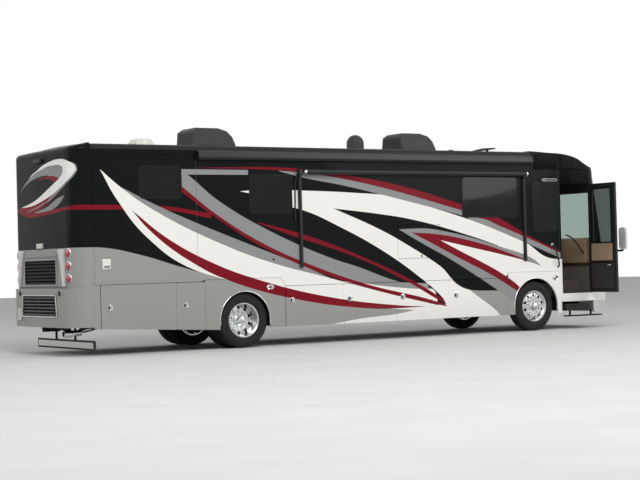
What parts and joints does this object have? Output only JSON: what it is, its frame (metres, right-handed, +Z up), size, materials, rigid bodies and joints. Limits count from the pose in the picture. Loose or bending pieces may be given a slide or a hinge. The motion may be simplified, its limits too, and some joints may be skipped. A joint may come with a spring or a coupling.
{
  "type": "motor coach motorhome",
  "caption": "Large rear-engined motorhome with striped body, open entry door, luggage doors, steered front wheels and twin rear wheels.",
  "frame": {"origin": "on the ground below the middle of the whole outline, with the entry door open", "axes": "+X forward, +Y to the driver's side, +Z up"},
  "size_m": [11.958, 3.731, 3.89],
  "materials": {
    "coach_paint": "clear-coated fibreglass body paint, black over silver and white with stripes",
    "silver_paint": "silver body paint",
    "white_paint": "white body paint",
    "roof_white": "roof membrane and moulded covers",
    "frame_black": "black chassis paint",
    "bay_grey": "moulded luggage bay lining",
    "floor_board": "floor boards",
    "tinted_glass": "dark tinted glass",
    "clear_glass": "laminated windshield glass",
    "black_plastic": "textured black plastic",
    "louvre_black": "black grille blades in a silver frame",
    "tyre": "tyre rubber",
    "polished_aluminium": "polished forged aluminium",
    "cast_iron": "axle and knuckle castings",
    "engine_grey": "engine block",
    "chrome": "bright chrome",
    "lamp_red": "red lamp lens",
    "lamp_clear": "clear lamp lens",
    "awning_black": "black awning case and arms",
    "flap_metal": "bright stone guard strip on rubber",
    "tan_trim": "tan moulded dashboard",
    "seat_leather": "tan leather seats",
    "screen": "outside television"
  },
  "bodies": {
    "coach": {"chassis_frame": "frame_black", "hitch_receiver": "frame_black", "floor_deck": "floor_board", "step_well": "black_plastic", "bay_bulkheads": "bay_grey", "bay_floors": "bay_grey", "wall_right": "coach_paint", "wall_left": "coach_paint", "roof": "roof_white", "rear_cap": "coach_paint", "rear_bumper": "silver_paint", "rear_louvre": "louvre_black", "front_cap": "coach_paint", "front_bumper": "white_paint", "front_grille": "louvre_black", "windshield": "clear_glass", "side_windows": "tinted_glass", "skirts": "silver_paint", "engine_block": "engine_grey", "front_axle": "cast_iron", "rear_axle": "cast_iron", "roof_air_units": "black_plastic", "roof_fittings": "roof_white", "awning_case": "awning_black", "awning_roller": "awning_black", "mirrors": "chrome", "headlamps": "lamp_clear", "tail_lamps": "lamp_red", "exhaust_pipe": "chrome", "stone_guard": "flap_metal", "entry_steps": "frame_black", "dashboard": "tan_trim", "cab_seats": "seat_leather", "tv_case": "screen"},
    "entry_door": {"entry_door": "coach_paint", "entry_door_glass": "tinted_glass"},
    "tv_door": {"tv_door": "coach_paint"},
    "engine_hatch": {"engine_hatch": "silver_paint"},
    "bay_door_right_1": {"bay_door_right_1": "silver_paint"},
    "bay_door_right_2": {"bay_door_right_2": "silver_paint"},
    "bay_door_right_3": {"bay_door_right_3": "silver_paint"},
    "bay_door_right_4": {"bay_door_right_4": "silver_paint"},
    "bay_door_right_5": {"bay_door_right_5": "silver_paint"},
    "bay_door_right_6": {"bay_door_right_6": "silver_paint"},
    "bay_door_left_1": {"bay_door_left_1": "silver_paint"},
    "bay_door_left_2": {"bay_door_left_2": "silver_paint"},
    "bay_door_left_3": {"bay_door_left_3": "silver_paint"},
    "bay_door_left_4": {"bay_door_left_4": "silver_paint"},
    "bay_door_left_5": {"bay_door_left_5": "silver_paint"},
    "bay_door_left_6": {"bay_door_left_6": "silver_paint"},
    "knuckle_right": {"knuckle_right": "cast_iron"},
    "front_wheel_right": {"tyre_front_right": "tyre", "rim_front_right": "polished_aluminium"},
    "rear_wheels_right": {"tyres_rear_right": "tyre", "rims_rear_right": "polished_aluminium"},
    "knuckle_left": {"knuckle_left": "cast_iron"},
    "front_wheel_left": {"tyre_front_left": "tyre", "rim_front_left": "polished_aluminium"},
    "rear_wheels_left": {"tyres_rear_left": "tyre", "rims_rear_left": "polished_aluminium"}
  },
  "joints": [
    {"name": "entry_door_hinge", "type": "hinge", "parent": "coach", "child": "entry_door", "pos_m": [5.313, -1.0995, 0.7], "axis": [0, 0, -1], "range_deg": [0, 90]},
    {"name": "tv_door_hinge", "type": "hinge", "parent": "coach", "child": "tv_door", "pos_m": [1.054, -1.0995, 2.09], "axis": [-1, 0, 0], "range_deg": [0, 90]},
    {"name": "engine_hatch_hinge", "type": "hinge", "parent": "coach", "child": "engine_hatch", "pos_m": [-5.923, 0.1755, 1.78], "axis": [0, 1, 0], "range_deg": [0, 85]},
    {"name": "bay_door_right_1_hinge", "type": "hinge", "parent": "coach", "child": "bay_door_right_1", "pos_m": [-4.041, -1.0995, 0.335], "axis": [0, 0, 1], "range_deg": [0, 90]},
    {"name": "bay_door_right_2_hinge", "type": "hinge", "parent": "coach", "child": "bay_door_right_2", "pos_m": [-3.491, -1.0995, 0.335], "axis": [0, 0, 1], "range_deg": [0, 90]},
    {"name": "bay_door_right_3_hinge", "type": "hinge", "parent": "coach", "child": "bay_door_right_3", "pos_m": [-0.666, -1.0995, 0.335], "axis": [0, 0, 1], "range_deg": [0, 90]},
    {"name": "bay_door_right_4_hinge", "type": "hinge", "parent": "coach", "child": "bay_door_right_4", "pos_m": [0.489, -1.0995, 0.335], "axis": [0, 0, 1], "range_deg": [0, 90]},
    {"name": "bay_door_right_5_hinge", "type": "hinge", "parent": "coach", "child": "bay_door_right_5", "pos_m": [1.714, -1.0995, 0.335], "axis": [0, 0, 1], "range_deg": [0, 90]},
    {"name": "bay_door_right_6_hinge", "type": "hinge", "parent": "coach", "child": "bay_door_right_6", "pos_m": [3.159, -1.0995, 0.335], "axis": [0, 0, 1], "range_deg": [0, 90]},
    {"name": "bay_door_left_1_hinge", "type": "hinge", "parent": "coach", "child": "bay_door_left_1", "pos_m": [-4.041, 1.4505, 0.335], "axis": [0, 0, -1], "range_deg": [0, 90]},
    {"name": "bay_door_left_2_hinge", "type": "hinge", "parent": "coach", "child": "bay_door_left_2", "pos_m": [-3.491, 1.4505, 0.335], "axis": [0, 0, -1], "range_deg": [0, 90]},
    {"name": "bay_door_left_3_hinge", "type": "hinge", "parent": "coach", "child": "bay_door_left_3", "pos_m": [-0.666, 1.4505, 0.335], "axis": [0, 0, -1], "range_deg": [0, 90]},
    {"name": "bay_door_left_4_hinge", "type": "hinge", "parent": "coach", "child": "bay_door_left_4", "pos_m": [0.489, 1.4505, 0.335], "axis": [0, 0, -1], "range_deg": [0, 90]},
    {"name": "bay_door_left_5_hinge", "type": "hinge", "parent": "coach", "child": "bay_door_left_5", "pos_m": [1.714, 1.4505, 0.335], "axis": [0, 0, -1], "range_deg": [0, 90]},
    {"name": "bay_door_left_6_hinge", "type": "hinge", "parent": "coach", "child": "bay_door_left_6", "pos_m": [3.159, 1.4505, 0.335], "axis": [0, 0, -1], "range_deg": [0, 90]},
    {"name": "steering_right", "type": "hinge", "parent": "coach", "child": "knuckle_right", "pos_m": [3.839, -0.7245, 0.48], "axis": [0, 0, 1], "range_deg": [-45, 45]},
    {"name": "front_wheel_right_spin", "type": "hinge", "parent": "knuckle_right", "child": "front_wheel_right", "pos_m": [3.839, -0.9245, 0.48], "axis": [0, 1, 0], "continuous": true},
    {"name": "rear_wheels_right_spin", "type": "hinge", "parent": "coach", "child": "rear_wheels_right", "pos_m": [-2.711, -0.9225, 0.48], "axis": [0, 1, 0], "continuous": true},
    {"name": "steering_left", "type": "hinge", "parent": "coach", "child": "knuckle_left", "pos_m": [3.839, 1.0755, 0.48], "axis": [0, 0, 1], "range_deg": [-45, 45]},
    {"name": "front_wheel_left_spin", "type": "hinge", "parent": "knuckle_left", "child": "front_wheel_left", "pos_m": [3.839, 1.2755, 0.48], "axis": [0, 1, 0], "continuous": true},
    {"name": "rear_wheels_left_spin", "type": "hinge", "parent": "coach", "child": "rear_wheels_left", "pos_m": [-2.711, 1.2735, 0.48], "axis": [0, 1, 0], "continuous": true}
  ],
  "couplings": [
    {"joint": "steering_left", "follows": "steering_right", "ratio": 1}
  ]
}
